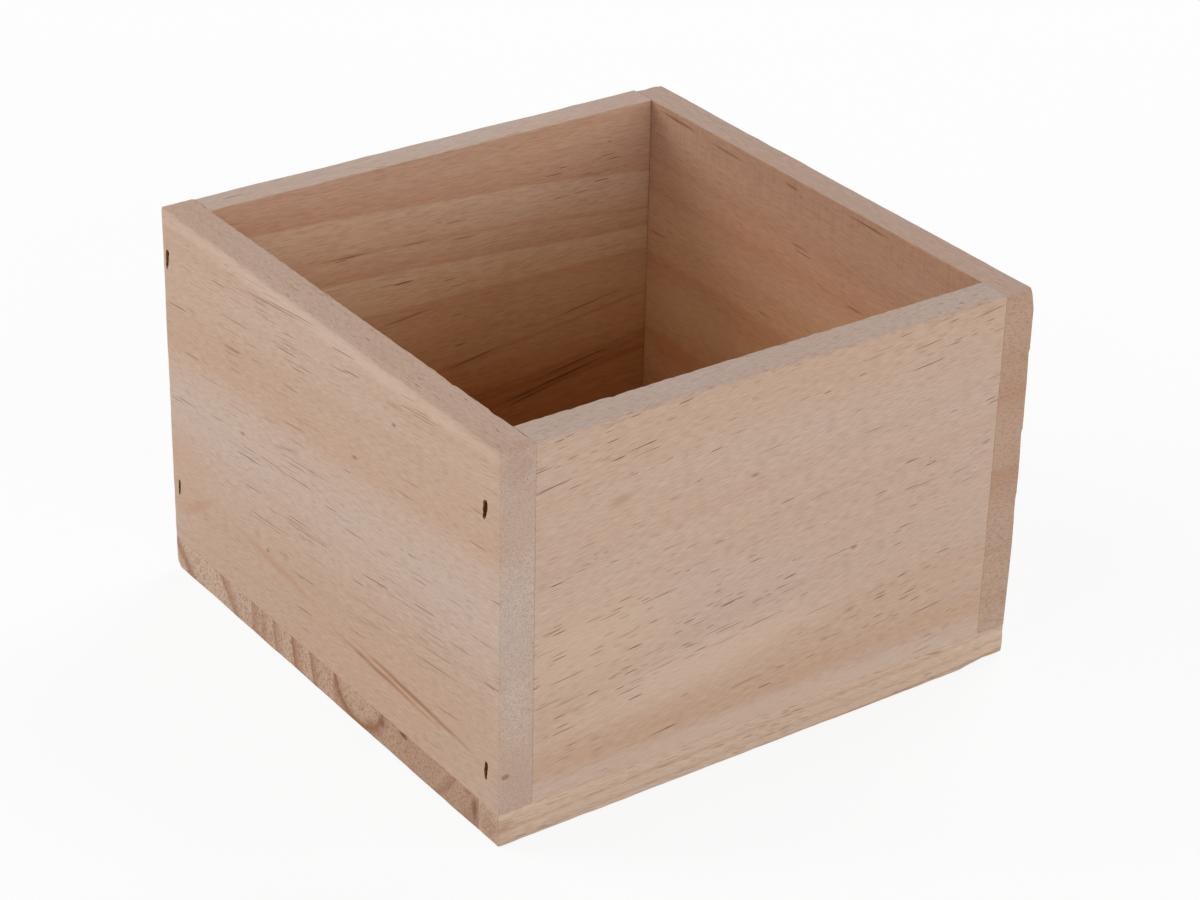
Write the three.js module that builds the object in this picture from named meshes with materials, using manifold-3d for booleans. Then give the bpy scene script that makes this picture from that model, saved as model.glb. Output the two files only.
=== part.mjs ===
// An open-topped pine box. Two side boards run the full depth and cap the ends of the front and back
// boards, and all four walls stand on a full-size bottom, a panel of staves glued edge to edge.
// Staples sunk below the surface hold the butt joints: through the sides, and up through the bottom.
// Millimetres, +X to the right along the front, +Y to the back, +Z up, origin at the centre of the underside.
import * as THREE from "three";
import { RoundedBoxGeometry } from "three/addons/geometries/RoundedBoxGeometry.js";
import { mergeVertices } from "three/addons/utils/BufferGeometryUtils.js";
import Module from "manifold-3d";

// The box outside
const BOX_WIDTH = 150;
const BOX_DEPTH = 150;
const WALL_HEIGHT = 92;

// The boards
const SIDE_THICKNESS = 9;
const FRONT_THICKNESS = 9;
const BACK_THICKNESS = 9;
const BOTTOM_THICKNESS = 9;
const GLUE_LINE = 0.1;

// The staves of the bottom, from the back. The second one takes up what is left of the depth,
// and the last is only a strip, where the panel was sawn to size.
const BACK_STAVE_WIDTH = 39;
const MIDDLE_STAVE_WIDTH = 33.5;
const FRONT_STAVE_WIDTH = 30;
const FRONT_STRIP_WIDTH = 8;

// The sanded edges: the outer arrises are rounded, most of all along the foot of the back,
// and the inner rim is only broken with a small chamfer
const ARRIS_RADIUS = 0.8;
const ARRIS_STEPS = 3;
const BACK_FOOT_RADIUS = 3;
const BACK_FOOT_STEPS = 6;
const RIM_CHAMFER = 0.4;

// The staples, narrow-crown wire with chisel points
const CROWN_WIDTH = 5.2;
const LEG_LENGTH = 22;
const WIRE_WIDTH = 1.2;
const WIRE_THICKNESS = 0.6;
const INNER_BEND_RADIUS = 0.3;
const BEND_STEPS = 3;
const POINT_LENGTH = 1.8;

// How the staples are driven
const STAPLE_SINK = 2.2;
const STAPLE_CLEARANCE = 0.15;
const STAPLE_COVER = 0.4;
const FRONT_UPPER_DROP = 16.4;
const FRONT_LOWER_RISE = 9.2;
const BACK_UPPER_DROP = 13.2;
const BACK_LOWER_RISE = 15.5;
const BOTTOM_STAPLE_SETBACK = 9;

// Heights and inner faces that follow from the sizes above
const wallFoot = BOTTOM_THICKNESS + GLUE_LINE;
const rim = wallFoot + WALL_HEIGHT;
const outerX = BOX_WIDTH / 2;
const outerY = BOX_DEPTH / 2;
const sideInnerX = outerX - SIDE_THICKNESS;
const frontInnerY = -outerY + FRONT_THICKNESS;
const backInnerY = outerY - BACK_THICKNESS;
const stripBackY = -outerY + FRONT_STRIP_WIDTH;
const frontStaveBackY = stripBackY + FRONT_STAVE_WIDTH;
const middleStaveBackY = frontStaveBackY + MIDDLE_STAVE_WIDTH;
const backStaveFrontY = outerY - BACK_STAVE_WIDTH;

const wasm = await Module();
wasm.setup();

// A closed geometry as a solid that can be cut
function solidFrom(geometry, matrix = new THREE.Matrix4()) {
  const bare = geometry.clone().applyMatrix4(matrix);
  bare.deleteAttribute("normal");
  bare.deleteAttribute("uv");
  const merged = mergeVertices(bare);
  const mesh = new wasm.Mesh({
    numProp: 3,
    vertProperties: merged.attributes.position.array,
    triVerts: Uint32Array.from(merged.index.array),
  });
  return new wasm.Manifold(mesh);
}

// A cut solid as a flat-shaded geometry
function geometryFrom(solid) {
  const { vertProperties, triVerts } = solid.getMesh();
  const shared = new THREE.BufferGeometry();
  shared.setAttribute("position", new THREE.BufferAttribute(vertProperties, 3));
  shared.setIndex(new THREE.BufferAttribute(triVerts, 1));
  const geometry = shared.toNonIndexed();
  geometry.computeVertexNormals();
  return geometry;
}

// A board sawn square, from its lowest to its highest corner
function sawnBoard(low, high) {
  const size = high.clone().sub(low);
  const middle = low.clone().add(high).multiplyScalar(0.5);
  const square = new THREE.BoxGeometry(size.x, size.y, size.z);
  return solidFrom(square, new THREE.Matrix4().setPosition(middle));
}

// The whole box as it leaves the sander, with every outer arris rounded
function sandedOutside() {
  const rounded = new RoundedBoxGeometry(BOX_WIDTH, BOX_DEPTH, rim, ARRIS_STEPS, ARRIS_RADIUS);
  return solidFrom(rounded, new THREE.Matrix4().makeTranslation(0, 0, rim / 2));
}

// What the sandpaper takes off the foot of the back: the corner outside a quarter round, over the whole width
function backFootWaste() {
  const spare = 1;
  const corner = new THREE.Shape();
  corner.moveTo(spare, -spare);
  corner.lineTo(spare, BACK_FOOT_RADIUS);
  corner.lineTo(0, BACK_FOOT_RADIUS);
  corner.absarc(-BACK_FOOT_RADIUS, BACK_FOOT_RADIUS, BACK_FOOT_RADIUS, 0, -Math.PI / 2, true);
  corner.lineTo(-BACK_FOOT_RADIUS, -spare);
  corner.closePath();
  const waste = new THREE.ExtrudeGeometry(corner, {
    depth: BOX_WIDTH + 2 * spare,
    bevelEnabled: false,
    curveSegments: BACK_FOOT_STEPS,
  });
  waste.translate(0, 0, -outerX - spare);
  const alongWidth = new THREE.Matrix4().makeBasis(
    new THREE.Vector3(0, 1, 0),
    new THREE.Vector3(0, 0, 1),
    new THREE.Vector3(1, 0, 0),
  );
  return solidFrom(waste, alongWidth.setPosition(0, outerY, 0));
}

// What the sandpaper takes off the inner rim: a flared plug, as wide as the opening below and wider above
function rimFlare() {
  const opening = new THREE.Shape();
  opening.moveTo(-sideInnerX, frontInnerY);
  opening.lineTo(sideInnerX, frontInnerY);
  opening.lineTo(sideInnerX, backInnerY);
  opening.lineTo(-sideInnerX, backInnerY);
  opening.closePath();
  const plug = new THREE.ExtrudeGeometry(opening, {
    depth: RIM_CHAMFER,
    bevelThickness: RIM_CHAMFER,
    bevelSize: RIM_CHAMFER,
    bevelSegments: 1,
  });
  return solidFrom(plug, new THREE.Matrix4().makeTranslation(0, 0, rim));
}

// A staple's outline, crown up and legs down, with its crown's upper face at y = 0.
// The hole that it drives is the same outline grown by the clearance, with the crown raised past the surface.
function stapleOutline(grow, rise) {
  const half = CROWN_WIDTH / 2 + grow;
  const wire = WIRE_THICKNESS + 2 * grow;
  const top = rise + grow;
  const crownUnder = -WIRE_THICKNESS - grow;
  const tip = -LEG_LENGTH - grow;
  const shoulder = tip + POINT_LENGTH;
  const outer = INNER_BEND_RADIUS + WIRE_THICKNESS;
  const inner = INNER_BEND_RADIUS;
  const legInside = half - wire;
  const outline = new THREE.Shape();
  outline.moveTo(-half + wire / 2, tip);
  outline.lineTo(-half, shoulder);
  outline.absarc(-half + outer, top - outer, outer, Math.PI, Math.PI / 2, true);
  outline.absarc(half - outer, top - outer, outer, Math.PI / 2, 0, true);
  outline.lineTo(half, shoulder);
  outline.lineTo(half - wire / 2, tip);
  outline.lineTo(legInside, shoulder);
  outline.absarc(legInside - inner, crownUnder - inner, inner, 0, Math.PI / 2, false);
  outline.absarc(-legInside + inner, crownUnder - inner, inner, Math.PI / 2, Math.PI, false);
  outline.lineTo(-legInside, shoulder);
  outline.closePath();
  return outline;
}

// A flat outline as a plate of the given thickness, centred on its own plane
function plate(outline, thickness) {
  const geometry = new THREE.ExtrudeGeometry(outline, {
    depth: thickness,
    bevelEnabled: false,
    curveSegments: BEND_STEPS,
  });
  return geometry.translate(0, 0, -thickness / 2);
}

const slotRise = STAPLE_SINK + INNER_BEND_RADIUS + WIRE_THICKNESS;
const stapleShape = plate(stapleOutline(0, 0), WIRE_WIDTH);
const holeShape = plate(stapleOutline(STAPLE_CLEARANCE, slotRise), WIRE_WIDTH + 2 * STAPLE_CLEARANCE);

// Where each staple sits: the point on the surface, the way out of the wood, and the way its crown lies
const staples = [];

function drive(name, surfacePoint, outward, crownAlong) {
  const turn = new THREE.Matrix4().makeBasis(crownAlong, outward, crownAlong.clone().cross(outward));
  const crownPoint = surfacePoint.clone().addScaledVector(outward, -STAPLE_SINK);
  staples.push({ name, crownPoint, turn });
}

// How far a staple can stray from the middle of a board's end and still be covered on both sides
function roomBesideStaple(thickness) {
  return thickness / 2 - WIRE_WIDTH / 2 - STAPLE_CLEARANCE - STAPLE_COVER;
}

// Side staples, driven by hand-held gun with the crown upright, so none is quite in the middle
// of the board behind it. Each strays towards the back by a share of the room beside it.
const frontMiddleY = -outerY + FRONT_THICKNESS / 2;
const backMiddleY = outerY - BACK_THICKNESS / 2;
const frontRoom = roomBesideStaple(FRONT_THICKNESS);
const backRoom = roomBesideStaple(BACK_THICKNESS);
const sideDrives = [
  { corner: "front_upper", y: frontMiddleY + 0.45 * frontRoom, z: rim - FRONT_UPPER_DROP },
  { corner: "front_lower", y: frontMiddleY + 0.18 * frontRoom, z: wallFoot + FRONT_LOWER_RISE },
  { corner: "back_upper", y: backMiddleY + 0.54 * backRoom, z: rim - BACK_UPPER_DROP },
  { corner: "back_lower", y: backMiddleY + 0.27 * backRoom, z: wallFoot + BACK_LOWER_RISE },
];
const upright = new THREE.Vector3(0, 0, 1);

for (const [side, sign] of [["left", -1], ["right", 1]]) {
  const outward = new THREE.Vector3(sign, 0, 0);
  for (const { corner, y, z } of sideDrives) {
    drive(`${side}_staple_${corner}`, new THREE.Vector3(sign * outerX, y, z), outward, upright);
  }
}

// Bottom staples, two under each wall. Those under the front and back are set back from the corners, past the
// tips of the side staples, and those under the sides hold the middles of the back and front staves.
const cornerSetback = STAPLE_SINK + LEG_LENGTH + CROWN_WIDTH / 2 + BOTTOM_STAPLE_SETBACK;
const alongX = outerX - cornerSetback;
const frontStaveMiddleY = (stripBackY + frontStaveBackY) / 2;
const backStaveMiddleY = (backStaveFrontY + outerY) / 2;
const sideMiddleX = outerX - SIDE_THICKNESS / 2;
const down = new THREE.Vector3(0, 0, -1);
const rightward = new THREE.Vector3(1, 0, 0);
const backward = new THREE.Vector3(0, 1, 0);

for (const [end, sign] of [["left", -1], ["right", 1]]) {
  drive(`bottom_staple_front_${end}`, new THREE.Vector3(sign * alongX, frontMiddleY, 0), down, rightward);
  drive(`bottom_staple_back_${end}`, new THREE.Vector3(sign * alongX, backMiddleY, 0), down, rightward);
  const wallX = sign * sideMiddleX;
  drive(`bottom_staple_${end}_front`, new THREE.Vector3(wallX, frontStaveMiddleY, 0), down, backward);
  drive(`bottom_staple_${end}_back`, new THREE.Vector3(wallX, backStaveMiddleY, 0), down, backward);
}

const stapleHoles = staples
  .map(({ crownPoint, turn }) => solidFrom(holeShape, turn.clone().setPosition(crownPoint)))
  .reduce((all, hole) => all.add(hole));
const outside = sandedOutside().subtract(backFootWaste());
const flare = rimFlare();

// A finished board: sawn square, sanded with the rest of the box, and pierced by the staples
function boardMesh(name, color, low, high) {
  const sanded = sawnBoard(low, high).intersect(outside).subtract(flare);
  const pierced = sanded.subtract(stapleHoles);
  const material = new THREE.MeshStandardMaterial({ color, roughness: 0.85, metalness: 0 });
  const mesh = new THREE.Mesh(geometryFrom(pierced), material);
  mesh.name = name;
  return mesh;
}

// The four walls
const frontEndX = sideInnerX - GLUE_LINE;
const walls = new THREE.Group();
walls.add(
  boardMesh(
    "left_side_board",
    0xbda28e,
    new THREE.Vector3(-outerX, -outerY, wallFoot),
    new THREE.Vector3(-sideInnerX, outerY, rim),
  ),
  boardMesh(
    "right_side_board",
    0xb49a84,
    new THREE.Vector3(sideInnerX, -outerY, wallFoot),
    new THREE.Vector3(outerX, outerY, rim),
  ),
  boardMesh(
    "front_board",
    0xbaa08d,
    new THREE.Vector3(-frontEndX, -outerY, wallFoot),
    new THREE.Vector3(frontEndX, frontInnerY, rim),
  ),
  boardMesh(
    "back_board",
    0xb8987c,
    new THREE.Vector3(-frontEndX, backInnerY, wallFoot),
    new THREE.Vector3(frontEndX, outerY, rim),
  ),
);

// The bottom, staves glued edge to edge. A glue line is left in front of all but the foremost.
const staves = [
  { name: "bottom_back_stave", color: 0xb79b86, from: backStaveFrontY + GLUE_LINE, to: outerY },
  { name: "bottom_second_stave", color: 0xb3967f, from: middleStaveBackY + GLUE_LINE, to: backStaveFrontY },
  { name: "bottom_middle_stave", color: 0xac8e78, from: frontStaveBackY + GLUE_LINE, to: middleStaveBackY },
  { name: "bottom_front_stave", color: 0xaa8872, from: stripBackY + GLUE_LINE, to: frontStaveBackY },
  { name: "bottom_front_strip", color: 0xb99e85, from: -outerY, to: stripBackY },
];
const bottom = new THREE.Group();
for (const { name, color, from, to } of staves) {
  const low = new THREE.Vector3(-outerX, from, 0);
  const high = new THREE.Vector3(outerX, to, BOTTOM_THICKNESS);
  bottom.add(boardMesh(name, color, low, high));
}

// The staples
const fixings = new THREE.Group();
for (const { name, crownPoint, turn } of staples) {
  const material = new THREE.MeshStandardMaterial({ color: 0x8f8c87, roughness: 0.45, metalness: 1 });
  const staple = new THREE.Mesh(stapleShape, material);
  staple.name = name;
  staple.position.copy(crownPoint);
  staple.quaternion.setFromRotationMatrix(turn);
  fixings.add(staple);
}

const box = new THREE.Group();
box.add(walls, bottom, fixings);

export default box;
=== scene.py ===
import math
import random

import bpy
from mathutils import Euler, Matrix, Vector, noise


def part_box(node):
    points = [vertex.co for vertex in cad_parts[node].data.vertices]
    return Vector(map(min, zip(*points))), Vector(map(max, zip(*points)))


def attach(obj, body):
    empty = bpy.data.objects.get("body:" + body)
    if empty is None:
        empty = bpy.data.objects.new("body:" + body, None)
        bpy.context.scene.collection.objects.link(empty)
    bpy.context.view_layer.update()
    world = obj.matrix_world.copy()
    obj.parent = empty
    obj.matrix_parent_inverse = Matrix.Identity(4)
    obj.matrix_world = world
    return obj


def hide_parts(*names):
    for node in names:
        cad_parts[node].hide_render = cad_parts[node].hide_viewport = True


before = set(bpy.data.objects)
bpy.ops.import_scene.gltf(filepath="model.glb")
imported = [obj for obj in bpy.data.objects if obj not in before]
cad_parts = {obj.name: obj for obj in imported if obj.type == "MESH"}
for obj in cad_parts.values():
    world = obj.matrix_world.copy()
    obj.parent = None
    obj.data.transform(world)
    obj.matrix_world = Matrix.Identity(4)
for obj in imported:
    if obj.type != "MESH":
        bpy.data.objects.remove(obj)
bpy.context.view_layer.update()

# Left side board: a plank of bare radiata-type pine, sawn, planed and sanded. It runs the full depth of the
# box and caps the ends of the front and back boards, to which it is glued and stapled. The sunk staples leave
# torn slots.
MM = 0.001
MESH_SPACING = 1.25 * MM
ARRIS_PLACES = (0, 0.05, 0.13, 0.25, 0.42, 0.65, 0.95)
ARRIS_REACH = 11 * MM
FINE_WAVER = 0.6
FINE_WAVE = 2.9
LEAST_ROUGHNESS = -0.65
SHARP_ANGLE = math.radians(38)
FACES = ("-x", "+x", "-y", "+y", "-z", "+z")
JOINT_ARRIS = (0.06, 0.06, 0, 20)
SAWN_ARRIS = (0.3, 0.3, 1.3, 2.6)
GLUE_LINE = 0.09 * MM
SLOT_POINTS = 22
SLOT_BITE = 0.25 * MM


def grid_places(low, high):
    """Places of the mesh lines along one side of a plank: close at both arrises and even between them."""
    near = [low + place * MM for place in ARRIS_PLACES]
    far = [high - place * MM for place in reversed(ARRIS_PLACES)]
    steps = round((far[0] - near[-1]) / MESH_SPACING)
    pitch = (far[0] - near[-1]) / steps
    return near + [near[-1] + pitch * step for step in range(1, steps)] + far


def plank_mesh(name, low, high, arrises, chips=()):
    """A closed plank between two corners. An arris is named by its two faces, and worn to an oval: how far it
    reaches in from each face in millimetres, how much it wavers, and over what length. The rest lie in joints
    and are only broken. A chip is an arris, the place where it breaks off, its length on either side, and its
    depth."""
    places = [grid_places(low[axis], high[axis]) for axis in range(3)]
    last = [len(lines) - 1 for lines in places]
    numbers = {}
    points = []

    def corner(index):
        if index not in numbers:
            numbers[index] = len(points)
            points.append(Vector([places[axis][index[axis]] for axis in range(3)]))
        return numbers[index]

    quads = []
    for axis in range(3):
        across, up = (axis + 1) % 3, (axis + 2) % 3
        for side in (0, last[axis]):
            for i in range(last[across]):
                for j in range(last[up]):
                    quad = []
                    for a, b in ((i, j), (i + 1, j), (i + 1, j + 1), (i, j + 1)):
                        index = [0, 0, 0]
                        index[axis], index[across], index[up] = side, a, b
                        quad.append(corner(tuple(index)))
                    quads.append(quad if side else quad[::-1])

    moves = [Vector((0, 0, 0)) for _ in points]
    for first in range(6):
        for second in range(first + 1, 6):
            if first // 2 == second // 2:
                continue
            arris = FACES[first] + FACES[second]
            along = 3 - first // 2 - second // 2
            first_reach, second_reach, waver, wave = arrises.get(arris, JOINT_ARRIS)
            faces = (first, second)
            walls = [(high if face % 2 else low)[face // 2] for face in faces]
            for point, move in zip(points, moves):
                gaps = [abs(point[face // 2] - wall) for face, wall in zip(faces, walls)]
                if max(gaps) > ARRIS_REACH:
                    continue
                place = point[along] / MM
                rough = noise.noise((place / wave, first, second + 0.3))
                rough += FINE_WAVER * noise.noise((place / wave * FINE_WAVE, second, first))
                swell = 1 + waver * max(rough, LEAST_ROUGHNESS)
                chipped = 0
                for chip_arris, chip_place, before, after, depth in chips:
                    if chip_arris == arris:
                        away = place - chip_place
                        share = 1 - abs(away) / (before if away < 0 else after)
                        chipped = max(chipped, depth * share)
                radii = [(reach * swell + chipped) * MM for reach in (first_reach, second_reach)]
                reach = Vector([1 - gap / radius for gap, radius in zip(gaps, radii)])
                if min(reach) <= 0 or reach.length <= 1:
                    continue
                for face, radius, gap, inward in zip(faces, radii, gaps, reach.normalized()):
                    inset = radius * (1 - inward) - gap
                    move[face // 2] += -inset if face % 2 else inset

    mesh = bpy.data.meshes.new(name)
    mesh.from_pydata([tuple(point + move) for point, move in zip(points, moves)], [], quads)
    mesh.shade_smooth()
    mesh.set_sharp_from_angle(angle=SHARP_ANGLE)
    return mesh


def crown_places(names, outward):
    """Where staples lie: the middle of each crown's upper face, and the way that the crown runs."""
    places = []
    for name in names:
        low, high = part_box(name)
        size = high - low
        middle = (low + high) / 2
        along = Vector((0, 0, 0))
        sides = [axis for axis in range(3) if not outward[axis]]
        along[max(sides, key=lambda axis: size[axis])] = 1
        middle += Vector([outward[axis] * size[axis] / 2 for axis in range(3)])
        places.append((middle, along))
    return places


def slot_cutter(crowns, surface, outward, shapes, seed):
    """The torn holes over sunk staples, as one mesh that is cut from a plank. Surface is the plank's face. A
    shape is a hole's half length, its half width, how much it narrows to its lower end, and how far it leans,
    with lengths in millimetres. The sides are ragged and draw in towards the crown."""
    draw = random.Random(seed)
    axis = max(range(3), key=lambda side: abs(outward[side]))
    points, faces = [], []
    for (crown, along), (half_length, half_width, drop, lean) in zip(crowns, shapes):
        across = along.cross(outward)
        place = crown.copy()
        place[axis] = surface
        depth = (crown - place).length + SLOT_BITE
        outline = []
        for step in range(SLOT_POINTS):
            turn = math.tau * step / SLOT_POINTS
            high = math.copysign(abs(math.sin(turn)) ** 0.8, math.sin(turn)) * draw.uniform(0.9, 1.07)
            wide = math.copysign(abs(math.cos(turn)) ** 0.65, math.cos(turn)) * draw.uniform(0.78, 1.16)
            wide *= half_width * (1 + drop * high)
            outline.append(((wide + lean * high) * MM, half_length * high * MM))
        start = len(points)
        levels = ((0.5 * MM, 1.22), (0, 1.04), (-0.4 * MM, 0.92), (-depth, 0.8))
        for lift, scale in levels:
            for wide, high in outline:
                points.append(place + outward * lift + (across * wide + along * high) * scale)
        for level in range(len(levels) - 1):
            for step in range(SLOT_POINTS):
                a = start + level * SLOT_POINTS + step
                b = start + level * SLOT_POINTS + (step + 1) % SLOT_POINTS
                faces.append((a, a + SLOT_POINTS, b + SLOT_POINTS, b))
        faces.append(tuple(range(start, start + SLOT_POINTS)))
        deepest = start + (len(levels) - 1) * SLOT_POINTS
        faces.append(tuple(range(deepest + SLOT_POINTS - 1, deepest - 1, -1)))
    mesh = bpy.data.meshes.new("slot_cutter")
    mesh.from_pydata([tuple(point) for point in points], [], faces)
    mesh.materials.append(torn_fibre_and_shade)
    return bpy.data.objects.new("slot_cutter", mesh)


def show(piece):
    """Puts a new object into the scene."""
    bpy.context.scene.collection.objects.link(piece)
    return piece


def as_mesh(piece):
    """Turns what a piece's modifiers make of it into its own plain mesh."""
    graph = bpy.context.evaluated_depsgraph_get()
    mesh = bpy.data.meshes.new_from_object(piece.evaluated_get(graph))
    piece.modifiers.clear()
    piece.data = mesh


def cut(piece, cutter):
    """Takes the cutter's shape out of a piece. The cut faces keep the cutter's own material."""
    show(cutter)
    modifier = piece.modifiers.new("cut", "BOOLEAN")
    modifier.operation = "DIFFERENCE"
    modifier.solver = "EXACT"
    modifier.material_mode = "TRANSFER"
    modifier.object = cutter
    as_mesh(piece)
    bpy.data.objects.remove(cutter)


def paint(red, green, blue):
    """A colour as it looks on a screen, from 0 to 255, given to a shader in linear light. A tint that
    lightens what it is multiplied with goes past 255."""
    linear = []
    for value in (red, green, blue):
        share = value / 255
        linear.append(share / 12.92 if share <= 0.04045 else ((share + 0.055) / 1.055) ** 2.4)
    return (*linear, 1.0)


def add_node(tree, kind, inputs=None, **settings):
    """A new node with its settings. An input is given a plain value, or a socket that it is linked to."""
    node = tree.nodes.new(kind)
    for key, value in settings.items():
        setattr(node, key, value)
    for key, value in (inputs or {}).items():
        if isinstance(value, bpy.types.NodeSocket):
            tree.links.new(value, node.inputs[key])
        else:
            node.inputs[key].default_value = value
    return node


def add_math(tree, operation, first, second=0.0, third=0.0):
    """One step of arithmetic on values."""
    return add_node(tree, "ShaderNodeMath", {0: first, 1: second, 2: third}, operation=operation).outputs[0]


def add_vector(tree, operation, first, second):
    """One step of arithmetic on vectors."""
    return add_node(tree, "ShaderNodeVectorMath", {0: first, 1: second}, operation=operation).outputs[0]


def add_noise(tree, vector, stretch, detail):
    """Noise whose grain is stretched differently along each axis, from 0 to 1."""
    stretched = add_vector(tree, "MULTIPLY", vector, stretch)
    inputs = {"Vector": stretched, "Scale": 1.0, "Detail": detail}
    return add_node(tree, "ShaderNodeTexNoise", inputs).outputs


def add_mix(tree, share, first, second, blend="MIX"):
    """Two colours mixed by a share from 0 to 1."""
    inputs = {0: share, 6: first, 7: second}
    return add_node(tree, "ShaderNodeMix", inputs, data_type="RGBA", blend_type=blend).outputs[2]


def add_step(tree, value, start, end, low=0.0, high=1.0):
    """One value up to start and another from end, with a soft step between them."""
    inputs = {"Value": value, "From Min": start, "From Max": end, "To Min": low, "To Max": high}
    return add_node(tree, "ShaderNodeMapRange", inputs, interpolation_type="SMOOTHSTEP").outputs[0]


def new_group(name, inputs, outputs):
    """An empty shader node group, with its input node and output node."""
    tree = bpy.data.node_groups.new(name, "ShaderNodeTree")
    for label, kind in inputs.items():
        tree.interface.new_socket(label, in_out="INPUT", socket_type="NodeSocket" + kind)
    for label, kind in outputs.items():
        tree.interface.new_socket(label, in_out="OUTPUT", socket_type="NodeSocket" + kind)
    return tree, tree.nodes.new("NodeGroupInput").outputs, tree.nodes.new("NodeGroupOutput").inputs


# Growth rings: the distance of a point from the tree's pith, which runs along the grain, in millimetres. The
# rings wander, and bend together along the board where the trunk swells.
HALF_BOARD = 66
BEND_BAND = 14
END_BEND = 0.28
rings_group, given, result = new_group(
    "growth_rings",
    {"Vector": "Vector", "Pith": "Vector", "Bend": "Float", "Bend Height": "Float", "Wander": "Float"},
    {"Distance": "Float"},
)
spot = add_node(rings_group, "ShaderNodeSeparateXYZ", {0: given["Vector"]}).outputs
pith = add_node(rings_group, "ShaderNodeSeparateXYZ", {0: given["Pith"]}).outputs
above = add_math(rings_group, "SUBTRACT", spot[2], given["Bend Height"])
hinge = add_step(rings_group, above, -BEND_BAND, BEND_BAND, -1, 1)
share = add_math(rings_group, "MULTIPLY", spot[0], 1 / HALF_BOARD)
swell = add_math(rings_group, "MULTIPLY", share, END_BEND)
curve = add_math(rings_group, "MULTIPLY_ADD", share, swell, share)
bend = add_math(rings_group, "MULTIPLY", add_math(rings_group, "MULTIPLY", curve, hinge), given["Bend"])
height = add_math(rings_group, "ADD", spot[2], bend)
side = add_math(rings_group, "SUBTRACT", spot[1], pith[1])
rise = add_math(rings_group, "SUBTRACT", height, pith[2])
squares = add_math(rings_group, "MULTIPLY_ADD", side, side, add_math(rings_group, "MULTIPLY", rise, rise))
radius = add_math(rings_group, "SQRT", squares)
wave = add_noise(rings_group, given["Vector"], (0.011, 0.05, 0.05), 3.0)[0]
centred = add_math(rings_group, "SUBTRACT", wave, 0.5)
wandering = add_math(rings_group, "MULTIPLY_ADD", centred, given["Wander"], radius)
rings_group.links.new(wandering, result["Distance"])

# Resin canals: thin tubes along the grain, scattered by chance and closer in patches. They show as dark
# dashes on a face and as dots on an end.
canals_group, given, result = new_group(
    "resin_canals",
    {
        "Vector": "Vector", "Along": "Float", "Across": "Float", "Size": "Float", "Share": "Float",
        "Patch": "Float",
    },
    {"Mask": "Float"},
)
inputs = {0: given["Along"], 1: given["Across"], 2: given["Across"]}
cell = add_node(canals_group, "ShaderNodeCombineXYZ", inputs).outputs[0]
bend = add_noise(canals_group, given["Vector"], (0.06, 0.3, 0.3), 1.0)["Color"]
sway = add_vector(canals_group, "MULTIPLY", bend, (0.0, 0.5, 0.5))
bent = add_vector(canals_group, "ADD", given["Vector"], sway)
scaled = add_vector(canals_group, "DIVIDE", bent, cell)
cells = add_node(canals_group, "ShaderNodeTexVoronoi", {"Vector": scaled, "Scale": 1.0})
chance = add_node(canals_group, "ShaderNodeSeparateColor", {0: cells.outputs["Color"]}).outputs
spread = add_math(canals_group, "MULTIPLY_ADD", chance[0], 0.75, 0.4)
size = add_math(canals_group, "MULTIPLY", given["Size"], spread)
nearness = add_math(canals_group, "DIVIDE", cells.outputs["Distance"], size)
inside = add_step(canals_group, nearness, 1.0, 0.7)
crowd = add_noise(canals_group, given["Vector"], (0.03, 0.1, 0.1), 2.0)[0]
patch = add_math(canals_group, "MULTIPLY", add_math(canals_group, "SUBTRACT", crowd, 0.5), given["Patch"])
chosen = add_math(canals_group, "LESS_THAN", chance[1], add_math(canals_group, "ADD", given["Share"], patch))
fade = add_math(canals_group, "MULTIPLY_ADD", chance[2], 0.7, 0.3)
mask = add_math(canals_group, "MULTIPLY", add_math(canals_group, "MULTIPLY", inside, chosen), fade)
canals_group.links.new(mask, result["Mask"])

# Fibre: the fine lines that sanding leaves along the grain, the long faint ones of narrow rings, and the slow
# change of tone over a board.
fibre_group, given, result = new_group(
    "wood_fibre", {"Vector": "Vector"}, {"Fine": "Float", "Lines": "Float", "Tone": "Float"}
)
fibre_group.links.new(add_noise(fibre_group, given["Vector"], (0.3, 4.6, 4.6), 3.0)[0], result["Fine"])
fibre_group.links.new(add_noise(fibre_group, given["Vector"], (0.004, 0.9, 0.9), 3.0)[0], result["Lines"])
fibre_group.links.new(add_noise(fibre_group, given["Vector"], (0.015, 0.05, 0.05), 2.0)[0], result["Tone"])

# Soft mark: one stain, streak or knot with a blurred, wandering edge, around a centre and leaning across the
# grain.
mark_group, given, result = new_group(
    "soft_mark",
    {"Vector": "Vector", "Centre": "Vector", "Reach": "Vector", "Lean": "Float", "Wander": "Float"},
    {"Mask": "Float"},
)
inputs = {"Vector": given["Vector"], "Center": given["Centre"], "Angle": given["Lean"]}
turned = add_node(mark_group, "ShaderNodeVectorRotate", inputs, rotation_type="Y_AXIS").outputs[0]
offset = add_vector(mark_group, "SUBTRACT", turned, given["Centre"])
share = add_vector(mark_group, "DIVIDE", offset, given["Reach"])
length = add_node(mark_group, "ShaderNodeVectorMath", {0: share}, operation="LENGTH").outputs["Value"]
blur = add_math(mark_group, "SUBTRACT", add_noise(mark_group, given["Vector"], (0.1, 0.6, 0.6), 3.0)[0], 0.5)
ragged = add_math(mark_group, "MULTIPLY_ADD", blur, given["Wander"], length)
mark_group.links.new(add_step(mark_group, ragged, 1.0, 0.15), result["Mask"])


def place_group(tree, group, inputs):
    """A shader node group with its inputs given as values or sockets."""
    return add_node(tree, "ShaderNodeGroup", inputs, node_tree=group).outputs


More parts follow.
